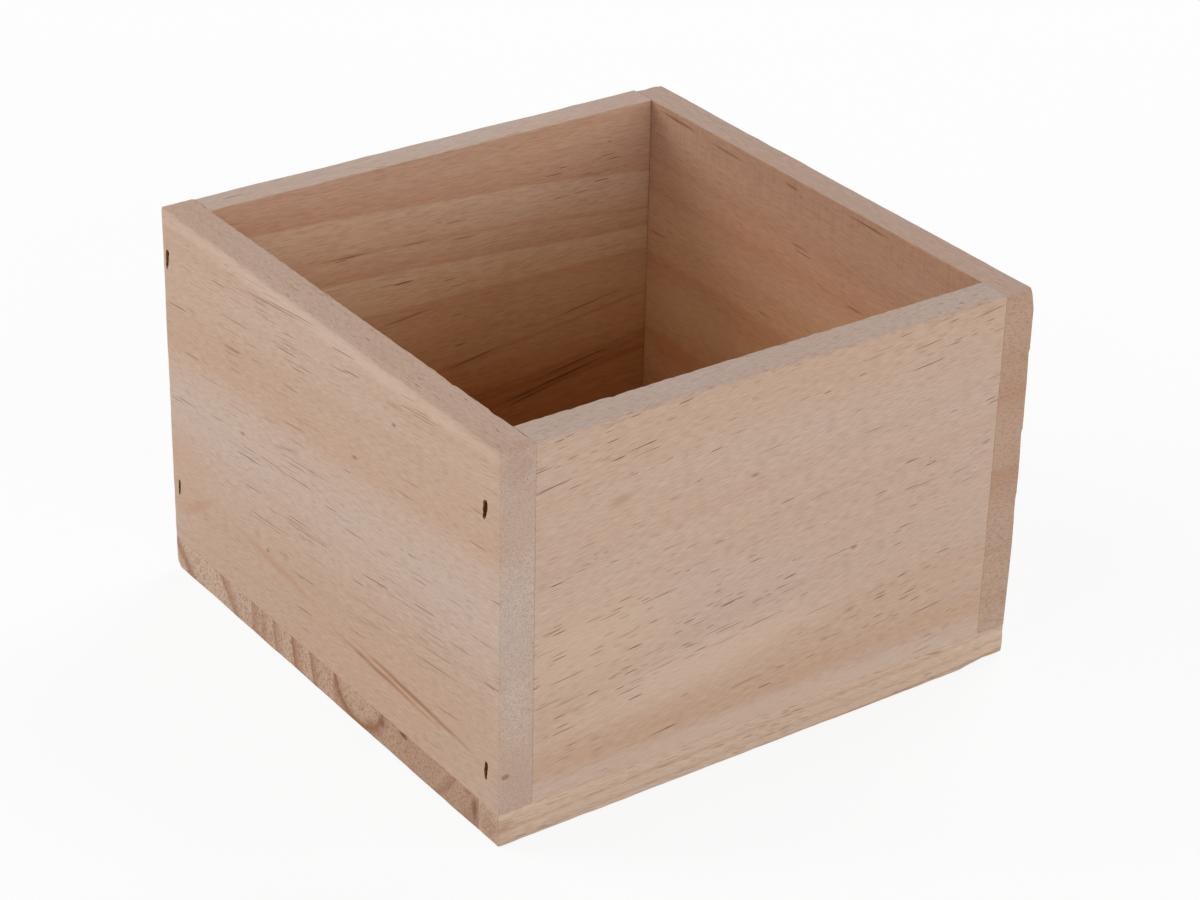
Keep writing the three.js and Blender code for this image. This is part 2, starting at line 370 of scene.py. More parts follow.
def add_rings(tree, distance, rings):
    """How late the wood is, from 0 to 1. Rings are pairs: millimetres from the pith, and lateness there."""
    start, end = rings[0][0], rings[-1][0]
    inputs = {"Value": distance, "From Min": start, "From Max": end}
    place = add_node(tree, "ShaderNodeMapRange", inputs).outputs[0]
    ramp = add_node(tree, "ShaderNodeValToRGB", {0: place})
    elements = ramp.color_ramp.elements
    elements[0].position, elements[1].position = 0, 1
    elements[0].color = (rings[0][1],) * 3 + (1,)
    elements[1].color = (rings[-1][1],) * 3 + (1,)
    for at, late in rings[1:-1]:
        elements.new((at - start) / (end - start)).color = (late, late, late, 1)
    return ramp.outputs[0]


# The inner faces' warmer, stronger colour deep in the box, and the heights between which it fades out, are
# painted bounce light, standing in for light reflected between the walls.
PAINTED_BOUNCE_PINE = (paint(215, 173, 126), paint(195, 145, 102))
PLANED_PINE = (paint(192, 165, 142), paint(174, 129, 100))
BOUNCE_FULL_BELOW = 25 * MM
BOUNCE_GONE_ABOVE = 97 * MM
FIBRE_TINTS = (
    ("Tone", 0.3, 0.7, paint(255, 251, 246)),
    ("Lines", 0.4, 0.75, paint(251, 249, 247)),
    ("Fine", 0.38, 0.7, paint(233, 229, 225)),
)
MARK_WANDER = 0.9
OPEN_PORE = paint(128, 88, 64)
RESIN = paint(84, 50, 31)
SAW_MARK = paint(112, 76, 56)
SAW_MARKS_FADE = 9


def pine(name, shift, turn, ring_turn, pith, rings, sanded, planed, inner, end_tint, top_tint, canals,
         crowds=(), marks=(), bend=(0, 0), wander=5.0, scored=None, pores=(0.24, 2.0, 2.4), painted_bounce=PAINTED_BOUNCE_PINE):
    """Bare pine for one plank. Turn brings the fibres to the X axis, and shift gives every plank its own.
    Ring turn does so for the rings, which go round the pith. Sanded and planed are the early and late wood of
    the outer faces, and of the inner face, which looks the way that inner gives. Painted bounce is the inner
    face's colour deep in the box, warmer and stronger: painted light standing in for light reflected between
    the walls, fading into the planed colour towards the rim. Canals are layers of dashes, and crowds are
    places with more of them. Marks are single stains: where in millimetres, how far, how they lean, their
    colour and how strong. Pores speckle the ends. Scored is how strong saw marks are, and the height where
    they end."""
    material = bpy.data.materials.new(name)
    material.use_nodes = True
    tree = material.node_tree
    shader = tree.nodes["Principled BSDF"]
    place = add_node(tree, "ShaderNodeTexCoord").outputs["Object"]
    fibre_turn = Euler([math.radians(angle) for angle in turn])
    rings_turn = Euler([math.radians(angle) for angle in ring_turn])
    inputs = {"Vector": place, "Rotation": rings_turn, "Scale": (1 / MM, 1 / MM, 1 / MM)}
    trunk = add_node(tree, "ShaderNodeMapping", inputs).outputs[0]
    inputs.update({"Rotation": fibre_turn, "Location": shift})
    grain = add_node(tree, "ShaderNodeMapping", inputs).outputs[0]

    inputs = {"Vector": trunk, "Pith": (0, *pith), "Bend": bend[0], "Bend Height": bend[1], "Wander": wander}
    distance = place_group(tree, rings_group, inputs)["Distance"]
    lateness = add_rings(tree, distance, rings)
    normal = add_node(tree, "ShaderNodeNewGeometry").outputs["Normal"]
    inputs = {0: normal, 1: inner}
    looks_in = add_node(tree, "ShaderNodeVectorMath", inputs, operation="DOT_PRODUCT").outputs["Value"]
    inside = add_step(tree, looks_in, 0.5, 0.9)
    height = add_node(tree, "ShaderNodeSeparateXYZ", {0: place}).outputs[2]
    # Painted bounce light: below the lower height the inner face takes the warmer deep-box colour, standing
    # in for light reflected between the walls, and it fades to the planed colour by the upper height.
    bounce_fade = add_step(tree, height, BOUNCE_FULL_BELOW, BOUNCE_GONE_ABOVE)
    colour = add_mix(tree, bounce_fade, add_mix(tree, lateness, *painted_bounce), add_mix(tree, lateness, *planed))
    colour = add_mix(tree, inside, add_mix(tree, lateness, *sanded), colour)
    fibre = place_group(tree, fibre_group, {"Vector": grain})
    for layer, start, end, tint in FIBRE_TINTS:
        colour = add_mix(tree, add_step(tree, fibre[layer], start, end), colour, tint, "MULTIPLY")

    def soft_mark(centre, reach, lean, strength):
        """One soft mark on this plank, as strong as it is given."""
        middle = fibre_turn.to_matrix() @ Vector(centre) + Vector(shift)
        inputs = {"Vector": grain, "Centre": middle, "Reach": reach, "Lean": math.radians(lean)}
        inputs["Wander"] = MARK_WANDER
        return add_math(tree, "MULTIPLY", place_group(tree, mark_group, inputs)["Mask"], strength)

    for centre, reach, lean, stain, strength in marks:
        colour = add_mix(tree, soft_mark(centre, reach, lean, strength), colour, stain)

    facing = add_node(tree, "ShaderNodeSeparateXYZ", {0: normal}).outputs
    grain_axis = 0 if abs((fibre_turn.to_matrix() @ Vector((1, 0, 0))).x) > 0.7 else 1
    end = add_step(tree, add_math(tree, "ABSOLUTE", facing[grain_axis]), 0.55, 0.9)
    top = add_step(tree, facing[2], 0.55, 0.9)
    colour = add_mix(tree, end, colour, end_tint, "MULTIPLY")
    colour = add_mix(tree, top, colour, top_tint, "MULTIPLY")
    strength, across, up = pores
    open_pores = add_step(tree, add_noise(tree, grain, (0.3, across, up), 3.0)[0], 0.48, 0.64, 0.0, strength)
    colour = add_mix(tree, add_math(tree, "MULTIPLY", open_pores, end), colour, OPEN_PORE)

    crowd = 1.0
    for centre, reach, lean, strength in crowds:
        crowd = add_math(tree, "ADD", crowd, soft_mark(centre, reach, lean, strength))
    dark = 0.0
    for along, across, size, share, patch, strength in canals:
        share = add_math(tree, "MULTIPLY", crowd, share) if crowds else share
        inputs = {"Vector": grain, "Along": along, "Across": across, "Size": size, "Share": share}
        inputs["Patch"] = patch
        layer = add_math(tree, "MULTIPLY", place_group(tree, canals_group, inputs)["Mask"], strength)
        dark = add_math(tree, "MAXIMUM", dark, layer)
    colour = add_mix(tree, dark, colour, RESIN)

    if scored:
        strength, lowest = scored
        scores = add_noise(tree, place, (1300, 1300, 90), 2.0)[0]
        near_rim = add_step(tree, height, lowest * MM, (lowest + SAW_MARKS_FADE) * MM)
        near_rim = add_math(tree, "MULTIPLY", near_rim, inside)
        saw = add_math(tree, "MULTIPLY", add_step(tree, scores, 0.5, 0.66, 0.0, strength), near_rim)
        colour = add_mix(tree, saw, colour, SAW_MARK)

    tree.links.new(colour, shader.inputs["Base Color"])
    rough = add_node(tree, "ShaderNodeMapRange", {"Value": fibre["Fine"], "To Min": 0.74, "To Max": 0.92})
    tree.links.new(rough.outputs[0], shader.inputs["Roughness"])
    shader.inputs["Specular IOR Level"].default_value = 0.25
    relief = add_math(tree, "SUBTRACT", fibre["Fine"], dark)
    bump = add_node(tree, "ShaderNodeBump", {"Height": relief, "Strength": 0.35, "Distance": 0.0001})
    tree.links.new(bump.outputs[0], shader.inputs["Normal"])
    return material


# Torn fibre: the frayed wood on the walls of the slots, where the staples went in. It is darker and redder
# than the faces, and its darkest patches, near black-brown, are painted shade of the narrow holes.
torn_fibre_and_shade = bpy.data.materials.new("torn_fibre_and_shade")
torn_fibre_and_shade.use_nodes = True
tree = torn_fibre_and_shade.node_tree
place = add_node(tree, "ShaderNodeTexCoord").outputs["Object"]
frayed = add_noise(tree, place, (4000, 1500, 1500), 3.0)[0]
# The near-black tone is painted shade inside the slot; the lighter brown is the torn wood itself.
colour = add_mix(tree, add_step(tree, frayed, 0.4, 0.6), paint(64, 38, 24), paint(160, 104, 66))
shader = tree.nodes["Principled BSDF"]
tree.links.new(colour, shader.inputs["Base Color"])
bump = add_node(tree, "ShaderNodeBump", {"Height": frayed, "Distance": 0.0002})
tree.links.new(bump.outputs[0], shader.inputs["Normal"])
shader.inputs["Roughness"].default_value = 0.95

# The left side's own sizes, marks and slots. Its fibres run from front to back.
LEFT_OUT = Vector((-1, 0, 0))
STAPLED_CORNERS = ("front_upper", "front_lower", "back_upper", "back_lower")
LEFT_STAPLES = [f"left_staple_{corner}" for corner in STAPLED_CORNERS]
PIN_KNOT = paint(116, 78, 56)
left_low, left_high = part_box("left_side_board")
left_low.z -= GLUE_LINE
left_side = show(bpy.data.objects.new("left_side", plank_mesh(
    "left_side", left_low, left_high,
    arrises={
        "-x-y": (0.4, 0.4, 0.3, 14), "-x+y": (1.0, 1.0, 0.4, 14), "-x+z": (0.7, 0.8, 0.3, 20),
        "-y+z": (0.5, 0.5, 0.4, 5), "+y+z": (0.9, 0.9, 0.4, 5), "+x+z": SAWN_ARRIS,
    },
    chips=(("+x+z", -43.5, 0.4, 5, 0.5), ("+x+z", -57.5, 5, 0.4, 0.5), ("+x+z", 12, 1.0, 3, 0.3)),
)))
left_side.data.materials.append(pine(
    "pine_left_side",
    shift=(0, 0, 0),
    turn=(6, 0, 90),
    ring_turn=(4, 0, 90),
    pith=(-13.8, -58.2),
    rings=((84, 0.4), (92, 0.42), (104, 0.45), (113, 0.35), (119.4, 0.15), (120.5, 0.35), (121.4, 0.1),
           (130, 0.0), (138, 0.1), (143, 0.45), (151, 0.55), (154, 0.4), (160, 0.35), (168, 0.4), (180, 0.4)),
    sanded=(paint(193, 172, 158), paint(185.5, 150.5, 124)),
    planed=PLANED_PINE,
    inner=(1, 0, 0),
    end_tint=paint(249, 255, 262),
    top_tint=paint(246, 246, 250),
    canals=((28, 0.52, 0.22, 0.1, 0.08, 1.0), (64, 0.5, 0.2, 0.3, 0.15, 0.8)),
    marks=(
        ((-75, -33, 20.9), (27, 5, 1.7), -9.5, paint(206, 162, 128), 0.25),
        ((-75, -27, 20.2), (27, 5, 1.0), -9, paint(146, 98, 68), 0.7),
        ((-75, -40, 21.4), (31, 5, 1.1), -9.5, paint(140, 92, 62), 0.75),
        ((-75, 62, 23.5), (15, 6, 2.2), 26, paint(176, 132, 104), 0.45),
        ((-75, 22, 25.5), (30, 6, 1.8), -12, paint(176, 132, 104), 0.45),
        ((-75, 70, 36), (26, 6, 7), 0, paint(186, 146, 122), 0.35),
        ((-75, 0, 98.8), (110, 5, 3.2), -6, paint(200, 179, 164), 0.5),
        ((-75, 20, 96.5), (24, 4, 0.35), 0, paint(116, 80, 58), 0.6),
        ((-75, 37.2, 55.4), (1.7, 2, 0.6), 0, PIN_KNOT, 0.65),
        ((-75, -15.2, 72.8), (1.7, 2, 0.7), 0, PIN_KNOT, 0.65),
        ((-75, -32.3, 88.8), (1.2, 2, 0.6), 0, PIN_KNOT, 0.65),
        ((-75, 26.7, 27.9), (1.2, 2, 0.7), 0, PIN_KNOT, 0.6),
        ((-73.2, -75, 18.8), (4, 1.5, 0.9), 0, paint(124, 84, 66), 0.7),
        ((-70.5, -75, 97), (6, 7, 9), 0, paint(162, 122, 98), 0.3),
        ((-70.5, -75, 36), (6, 7, 17), 0, paint(206, 190, 174), 0.22),
        ((-70.5, -75, 13), (6, 7, 8), 0, paint(168, 126, 106), 0.12),
    ),
    crowds=(
        ((-75, -40, 44), (50, 9, 16), 0, 5),
        ((-75, 10, 90), (80, 9, 14), 0, 4),
        ((-75, 30, 60), (64, 9, 18), 0, 5),
        ((-75, 20, 40), (34, 9, 9), 0, 4),
        ((-70.5, 0, 102), (100, 9, 4), 0, 5),
    ),
))
cut(left_side, slot_cutter(
    crown_places(LEFT_STAPLES, LEFT_OUT), left_low.x, LEFT_OUT,
    shapes=((2.4, 0.85, 0.25, 0.35), (2.3, 0.65, 0.05, 0.12), (2.6, 0.75, 0.2, 0.35), (2.2, 0.55, 0.1, 0.15)),
    seed=3,
))
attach(left_side, "root")
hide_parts("left_side_board")

# Right side board: the same plank on the other side, from redder stock whose inner face kept fine saw marks.
# Its front arris broke away in three places and wore down at the top and the foot, and its back corner is
# rubbed round.
RIGHT_OUT = Vector((1, 0, 0))
RIGHT_STAPLES = [f"right_staple_{corner}" for corner in STAPLED_CORNERS]
RIGHT_STREAK = paint(104, 66, 44)
right_low, right_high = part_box("right_side_board")
right_low.z -= GLUE_LINE
right_side = show(bpy.data.objects.new("right_side", plank_mesh(
    "right_side", right_low, right_high,
    arrises={
        "+x-y": (0.5, 0.5, 0.3, 9), "+x+y": (4.5, 4.5, 0.15, 20), "+x+z": (1.8, 1.8, 0.2, 16),
        "-y+z": (1.8, 1.8, 0.3, 6), "+y+z": (2.6, 2.6, 0.2, 6), "-x+z": SAWN_ARRIS,
    },
    chips=(("+x-y", 101.5, 6, 1, 2.2), ("+x-y", 84.5, 9, 0.5, 0.6), ("+x-y", 63, 8, 0.5, 0.5),
           ("+x-y", 45, 8, 0.5, 0.4), ("+x-y", 9, 1, 14, 0.6)),
)))
right_side.data.materials.append(pine(
    "pine_right_side",
    shift=(60, 31, 17),
    turn=(-1.5, 0, 90),
    ring_turn=(-1, 0, 90),
    pith=(74, 180),
    rings=((78, 0.35), (88, 0.28), (92.5, 0.36), (95.6, 0.52), (97, 0.36), (101, 0.42), (104.4, 0.56),
           (106.4, 0.36), (112, 0.24), (119, 0.26), (123.2, 0.27), (124.8, 0.58), (128, 0.5), (133, 0.3),
           (138, 0.18), (145.4, 0.22), (146.8, 0.42), (148, 0.22), (155, 0.1), (158.8, 0.12), (160.2, 0.4),
           (161.2, 0.18), (166, 0.08), (172, 0.05)),
    wander=3.0,
    sanded=(paint(188, 167, 155), paint(172, 131, 105)),
    planed=(paint(187, 154, 132), paint(164, 115, 87)),
    # This plank's painted bounce light: the warmer colour its inner face takes deep in the box.
    painted_bounce=(paint(213, 167, 119), paint(193, 137, 94)),
    inner=(-1, 0, 0),
    end_tint=paint(249, 245, 238),
    top_tint=paint(248, 250, 253),
    canals=((20, 0.9, 0.2, 0.04, 0.1, 0.85), (70, 0.8, 0.2, 0.05, 0.1, 0.7)),
    crowds=(((66, 6, 84), (14, 9, 3), 0, 8.0), ((66, 12, 60), (12, 9, 3), 0, 5.0)),
    marks=(
        ((66, 53, 99.2), (10, 4, 0.55), 0, RIGHT_STREAK, 0.65),
        ((66, 33, 98.2), (10, 4, 0.5), 0, RIGHT_STREAK, 0.5),
        ((66, 6, 98.6), (4, 4, 0.5), 0, RIGHT_STREAK, 0.55),
        ((66, -24, 99.2), (10, 4, 0.5), 0, RIGHT_STREAK, 0.6),
        ((66, 2, 83.6), (6, 4, 0.5), 0, RIGHT_STREAK, 0.55),
        ((66, -21, 75.3), (5, 4, 0.45), 0, RIGHT_STREAK, 0.55),
        ((66, 15, 59.5), (4, 4, 0.6), 0, RIGHT_STREAK, 0.5),
        ((66, 44, 47), (30, 4, 11), 0, paint(203, 166, 127), 0.4),
        ((66, 52, 32), (20, 4, 6), 0, paint(192, 127, 78), 0.55),
    ),
    scored=(0.13, 86),
    pores=(0.36, 0.8, 2.6),
))
cut(right_side, slot_cutter(
    crown_places(RIGHT_STAPLES, RIGHT_OUT), right_high.x, RIGHT_OUT,
    shapes=((2.4, 0.8, 0.2, 0.2), (2.5, 0.85, 0.1, -0.1), (2.3, 0.7, 0.25, 0.2), (2.6, 0.9, 0.1, 0.0)),
    seed=8,
))
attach(right_side, "root")
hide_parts("right_side_board")

# Front board: a pine plank glued between the two sides, with its grain across the box and its face sanded
# flush. The saw left its inner rim ragged.
front_low, front_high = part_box("front_board")
front_low -= Vector((GLUE_LINE, 0, GLUE_LINE))
front_high.x += GLUE_LINE
front = show(bpy.data.objects.new("front", plank_mesh(
    "front", front_low, front_high,
    arrises={
        "-y+z": (1.3, 1.3, 0.3, 18), "+y+z": SAWN_ARRIS,
        "-x-y": (0.2, 0.2, 0.5, 9), "+x-y": (0.12, 0.12, 0.6, 9),
    },
    chips=(("+y+z", -52, 0.6, 3, 0.4), ("+y+z", -40, 0.5, 2, 0.3), ("+y+z", -18, 3, 0.6, 0.3),
           ("+y+z", 20, 2, 1, 0.3)),
)))
front.data.materials.append(pine(
    "pine_front",
    shift=(25, 0, 40),
    turn=(0, 6, 0),
    ring_turn=(0, 0, 0),
    pith=(-10, 189),
    rings=((104, 0.3), (114, 0.35), (124, 0.2), (135, 0.25), (143, 0.15), (152, 0.13), (160, 0.2),
           (170, 0.24), (177, 0.27), (180.6, 0.48), (183.4, 0.68), (185.4, 0.52), (187.4, 0.26), (190, 0.1),
           (200, 0.15)),
    sanded=(paint(190.5, 168.5, 154.5), paint(187, 154, 128)),
    planed=PLANED_PINE,
    inner=(0, 1, 0),
    end_tint=paint(250, 250, 250),
    top_tint=paint(243, 250, 260),
    canals=((9, 0.55, 0.25, 0.05, 0.05, 1.0), (26, 0.55, 0.22, 0.06, 0.05, 0.85)),
    marks=(
        ((-43.3, -75, 80.3), (5, 4, 2.0), 0, paint(166, 126, 98), 0.5),
        ((-6.4, -75, 75.4), (1.8, 2, 0.7), 0, paint(128, 90, 68), 0.6),
        ((24.1, -75, 47.1), (1.6, 2, 0.7), 0, paint(120, 82, 60), 0.7),
        ((-50, -75, 46), (34, 8, 18), 0, paint(196, 170, 142), 0.4),
        ((61.7, -75, 98.6), (5, 4, 0.35), 1, paint(118, 82, 62), 0.6),
        ((0, -75, 11), (110, 6, 4.5), -6, paint(200, 176, 156), 0.4),
        ((-20, -75, 30), (58, 6, 9), 0, paint(206, 184, 164), 0.35),
    ),
    crowds=(
        ((-46, -75, 40), (40, 9, 20), 0, 14),
        ((-8, -75, 43), (26, 9, 12), 0, 8),
        ((-45, -75, 94), (42, 9, 12), 0, 12),
        ((-60, -75, 66), (16, 9, 8), 0, 6),
        ((44, -75, 58), (26, 9, 8), 0, 6),
        ((48, -75, 96), (24, 9, 8), 0, 10),
        ((30, -75, 28), (46, 9, 9), 0, 6),
    ),
))
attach(front, "root")
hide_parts("front_board")

# Back board: a flat-sawn pine plank glued between the sides, set a hair inside their ends. Its wide rings
# show as reddish bands that close up towards the right, and its outer rim was sanded unevenly.
BACK_SETBACK = 0.3 * MM
BACK_STREAK = paint(110, 68, 42)
back_low, back_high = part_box("back_board")
back_low -= Vector((GLUE_LINE, 0, GLUE_LINE))
back_high += Vector((GLUE_LINE, -BACK_SETBACK, 0))
back = show(bpy.data.objects.new("back", plank_mesh(
    "back", back_low, back_high,
    arrises={"+y+z": (1.0, 1.0, 0.4, 14), "-y+z": SAWN_ARRIS, "+x-y": (0.3, 0.3, 0.3, 16)},
)))
back.data.materials.append(pine(
    "pine_back",
    shift=(10, 0, 80),
    turn=(0, -1, 0),
    ring_turn=(0, 0, 0),
    pith=(100, 200),
    bend=(5.5, 58),
    wander=3.0,
    rings=((98, 0.25), (105, 0.3), (112, 0.45), (116.8, 0.65), (117.3, 0.1), (122, 0.12), (126.2, 0.25),
           (127.2, 0.6), (128.2, 0.3), (131, 0.4), (134.2, 0.65), (134.7, 0.05), (139, 0.1), (143, 0.15),
           (143.9, 0.25), (144.7, 0.6), (150, 0.4), (160, 0.26), (163.9, 0.26), (164.6, 0.75), (165.4, 0.24),
           (172, 0.18), (175.6, 0.2), (176.2, 0.9), (176.8, 0.4), (178.4, 1.0), (179.0, 0.4), (181, 1.0),
           (182, 0.3), (200, 0.35)),
    sanded=(paint(193, 172, 158), paint(186, 150, 126)),
    planed=(paint(199, 170, 149), paint(181, 133, 106)),
    inner=(0, -1, 0),
    end_tint=paint(250, 250, 250),
    top_tint=paint(249, 255, 264),
    canals=((16, 0.7, 0.22, 0.12, 0.2, 1.0), (40, 0.7, 0.2, 0.1, 0.2, 0.9)),
    crowds=(((0, 66, 60), (110, 6, 70), 0, 3.5), ((48, 66, 84), (26, 6, 14), 0, 5)),
    marks=(
        ((-27, 66, 78.9), (10, 4, 0.4), -1, BACK_STREAK, 0.5),
        ((58, 70.5, 101), (22, 8, 2), 0, paint(176, 146, 130), 0.4),
        ((-7, 66, 77.8), (9, 4, 0.4), -2, BACK_STREAK, 0.5),
        ((7, 66, 75.8), (6, 4, 0.4), -3, BACK_STREAK, 0.5),
        ((38, 66, 27), (24, 4, 0.55), 10, BACK_STREAK, 0.75),
        ((42, 66, 30), (20, 4, 0.45), 9, BACK_STREAK, 0.65),
        ((28, 66, 24), (16, 4, 0.5), 11, BACK_STREAK, 0.65),
        ((45, 66, 46.5), (16, 4, 0.45), 9, BACK_STREAK, 0.6),
        ((12, 66, 40.5), (12, 4, 0.5), 10, BACK_STREAK, 0.55),
        ((-10, 66, 57.5), (12, 4, 0.55), 6, BACK_STREAK, 0.55),
    ),
))
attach(back, "root")
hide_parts("back_board")

# Bottom: five pine staves glued edge to edge, with the grain across the box, and stapled up into the walls.
# Each is from another part of a log, as the left ends show. The back one's foot is rubbed round, and the
# foremost is a narrow strip, worn at the right end of its foot.
BELOW = Vector((0, 0, -1))
LOWER_ARRIS = (0.9, 0.9, 0.3, 12)
ENDS_WORN = {"-x-z": LOWER_ARRIS, "+x-z": LOWER_ARRIS}
STAVE_DASHES = ((20, 0.8, 0.2, 0.4, 0.3, 0.85), (60, 0.6, 0.22, 0.5, 0.3, 0.5))
STAVES = {
    "bottom_back_stave": {
        "arrises": {"-x+y": (1.0, 1.0, 0.3, 4), "+x+y": (2.5, 2.5, 0.2, 6), "+y-z": (3.0, 8.0, 0.1, 30)},
        "staples": ("bottom_staple_back_left", "bottom_staple_back_right", "bottom_staple_left_back",
                    "bottom_staple_right_back"),
        "pith": (116, -46.8),
        "rings": ((55, 0.25), (66, 0.2), (68, 0.8), (69.2, 0.75), (71, 0.3), (76, 0.2), (82, 0.15),
                  (84.8, 0.25), (86, 0.8), (87.2, 0.6), (90, 0.3), (110, 0.2)),
        "sanded": (paint(201, 180, 163), paint(152, 108, 82)),
    },
    "bottom_second_stave": {
        "arrises": {},
        "staples": (),
        "pith": (-64.2, 15.9),
        "rings": ((58, 0.3), (65, 0.15), (69.5, 0.35), (71.8, 0.85), (72.6, 0.1), (76, 0.15), (78.6, 0.5),
                  (80.5, 0.95), (81.3, 0.08), (85, 0.15), (88, 0.4), (89.5, 0.65), (90.2, 0.15), (92.5, 0.2),
                  (95.2, 0.6), (95.9, 0.2), (97.5, 0.4), (99, 0.6), (104, 0.4)),
        "sanded": (paint(194, 167, 147), paint(150, 108, 82)),
    },
    "bottom_middle_stave": {
        "arrises": {},
        "staples": (),
        "pith": (-15, 12),
        "rings": ((2, 0.2), (8, 0.2), (9.8, 0.4), (11, 0.95), (12.4, 0.6), (14.5, 0.35), (20, 0.4),
                  (40, 0.35)),
        "sanded": (paint(196, 169, 147), paint(136, 94, 68)),
        "marks": (
            ((-75, -35, 8.5), (60, 2.6, 1.3), 0, paint(84, 52, 36), 0.85),
            ((-75, -21, 3.4), (40, 5, 1.6), 0, paint(150, 98, 68), 0.6),
            ((-75, -25.8, 6.4), (40, 1.7, 1.7), 0, paint(112, 70, 48), 0.65),
        ),
    },
    "bottom_front_stave": {
        "arrises": {},
        "staples": ("bottom_staple_left_front", "bottom_staple_right_front"),
        "pith": (-5, 50),
        "rings": ((45, 0.4), (60, 0.45), (64, 0.4), (66.4, 0.75), (67.4, 0.4), (72, 0.45), (75, 0.6),
                  (90, 0.55)),
        "sanded": (paint(196, 168, 146), paint(138, 98, 74)),
        "marks": (
            ((-75, -65.2, 5.6), (30, 1.6, 4.4), 0, paint(100, 64, 44), 0.75),
            ((-75, -62.5, 8.2), (30, 2.4, 1.0), 0, paint(120, 80, 56), 0.5),
        ),
    },
    "bottom_front_strip": {
        "arrises": {"-x-y": (0.6, 0.6, 0.3, 4), "+x-y": (1.1, 1.1, 0.3, 4), "-y-z": LOWER_ARRIS},
        "staples": ("bottom_staple_front_left", "bottom_staple_front_right"),
        "pith": (-110, -60),
        "ring_lean": 1.6,
        "rings": ((64, 0.14), (68.9, 0.14), (69.6, 0.5), (70.1, 0.15), (71.5, 0.13), (72.1, 0.32),
                  (72.8, 0.16), (74.5, 0.12), (75.2, 0.34), (75.9, 0.16), (78, 0.12), (82, 0.1)),
        "sanded": (paint(207, 186, 168), paint(148, 108, 81)),
        "chips": (("-y-z", 69, 8, 40, 1.9),),
        "canals": ((8, 0.5, 0.25, 0.5, 0.3, 0.8), (30, 0.6, 0.22, 0.3, 0.3, 0.7),
                   (5, 0.5, 0.42, 0.55, 0.5, 0.3)),
        "marks": (((-75, -71, 4.5), (8, 7, 8), 0, paint(158, 120, 94), 0.7),),
    },
}
for index, (stave_name, stave) in enumerate(STAVES.items()):
    low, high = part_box(stave_name)
    if stave_name != "bottom_front_strip":
        low.y -= GLUE_LINE
    piece_name = stave_name.replace("bottom_", "")
    piece = show(bpy.data.objects.new(piece_name, plank_mesh(
        piece_name, low, high, {**ENDS_WORN, **stave["arrises"]}, stave.get("chips", ()),
    )))
    piece.data.materials.append(pine(
        f"pine_{piece_name}",
        shift=(13 * index, 0, 57 * index),
        turn=(0, 2.5 - index, 0),
        ring_turn=(0, stave.get("ring_lean", 0), 0),
        pith=stave["pith"],
        rings=stave["rings"],
        wander=2.4,
        sanded=stave["sanded"],
        planed=PLANED_PINE,
        inner=(0, 0, 1),
        end_tint=paint(261, 264, 267),
        top_tint=paint(255, 255, 255),
        canals=stave.get("canals", STAVE_DASHES),
        marks=stave.get("marks", ()),
        pores=(0.6, 1.9, 1.6),
    ))
    if stave["staples"]:
        cut(piece, slot_cutter(
            crown_places(stave["staples"], BELOW), low.z, BELOW,
            shapes=[(2.4 + 0.1 * number, 0.75, 0.1, 0.1) for number in range(len(stave["staples"]))],
            seed=20 + index,
        ))
    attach(piece, "root")
    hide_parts(stave_name)

# Staples: narrow-crown galvanised wire with drawn points, driven below the surface through the butt joints
# and up through the bottom. One bent wire is set at every place.
STAPLE_SIZES = {
    "Crown": 5.2 * MM, "Leg": 22 * MM, "Wire Width": 1.2 * MM, "Wire Thickness": 0.6 * MM,
    "Bend": 0.6 * MM, "Point": 1.8 * MM,
}
POINT_THINNESS = 0.2
wire = bpy.data.materials.new("galvanised_wire")
wire.use_nodes = True
tree = wire.node_tree
place = add_node(tree, "ShaderNodeTexCoord").outputs["Object"]
bloom = add_noise(tree, place, (900, 900, 900), 3.0)[0]
shader = tree.nodes["Principled BSDF"]
zinc = add_mix(tree, add_step(tree, bloom, 0.35, 0.65), paint(146, 144, 140), paint(178, 176, 172))
tree.links.new(zinc, shader.inputs["Base Color"])
shader.inputs["Metallic"].default_value = 1.0
tree.links.new(add_step(tree, bloom, 0.3, 0.7, 0.35, 0.55), shader.inputs["Roughness"])

staple_tree = bpy.data.node_groups.new("driven_staples", "GeometryNodeTree")
staple_tree.interface.new_socket("Places", in_out="INPUT", socket_type="NodeSocketGeometry")
for label in STAPLE_SIZES:
    staple_tree.interface.new_socket(label, in_out="INPUT", socket_type="NodeSocketFloat")
staple_tree.interface.new_socket("Wire", in_out="INPUT", socket_type="NodeSocketMaterial")
staple_tree.interface.new_socket("Staples", in_out="OUTPUT", socket_type="NodeSocketGeometry")
given = staple_tree.nodes.new("NodeGroupInput").outputs
result = staple_tree.nodes.new("NodeGroupOutput").inputs
number = add_node(staple_tree, "GeometryNodeInputIndex").outputs[0]
from_middle = add_math(staple_tree, "SUBTRACT", number, 2.5)
between_legs = add_math(staple_tree, "SUBTRACT", given["Crown"], given["Wire Thickness"])
half_crown = add_math(staple_tree, "MULTIPLY", between_legs, 0.5)
sideways = add_math(staple_tree, "MULTIPLY", add_math(staple_tree, "SIGN", from_middle), half_crown)
steps = add_math(staple_tree, "ABSOLUTE", from_middle)
shank = add_math(staple_tree, "SUBTRACT", given["Leg"], given["Point"])
on_leg = add_math(staple_tree, "MULTIPLY", add_math(staple_tree, "GREATER_THAN", steps, 1.0), shank)
on_tip = add_math(staple_tree, "MULTIPLY", add_math(staple_tree, "GREATER_THAN", steps, 2.0), given["Point"])
down = add_math(staple_tree, "MULTIPLY", add_math(staple_tree, "ADD", on_leg, on_tip), -1.0)
corner = add_node(staple_tree, "ShaderNodeCombineXYZ", {0: sideways, 2: down}).outputs[0]
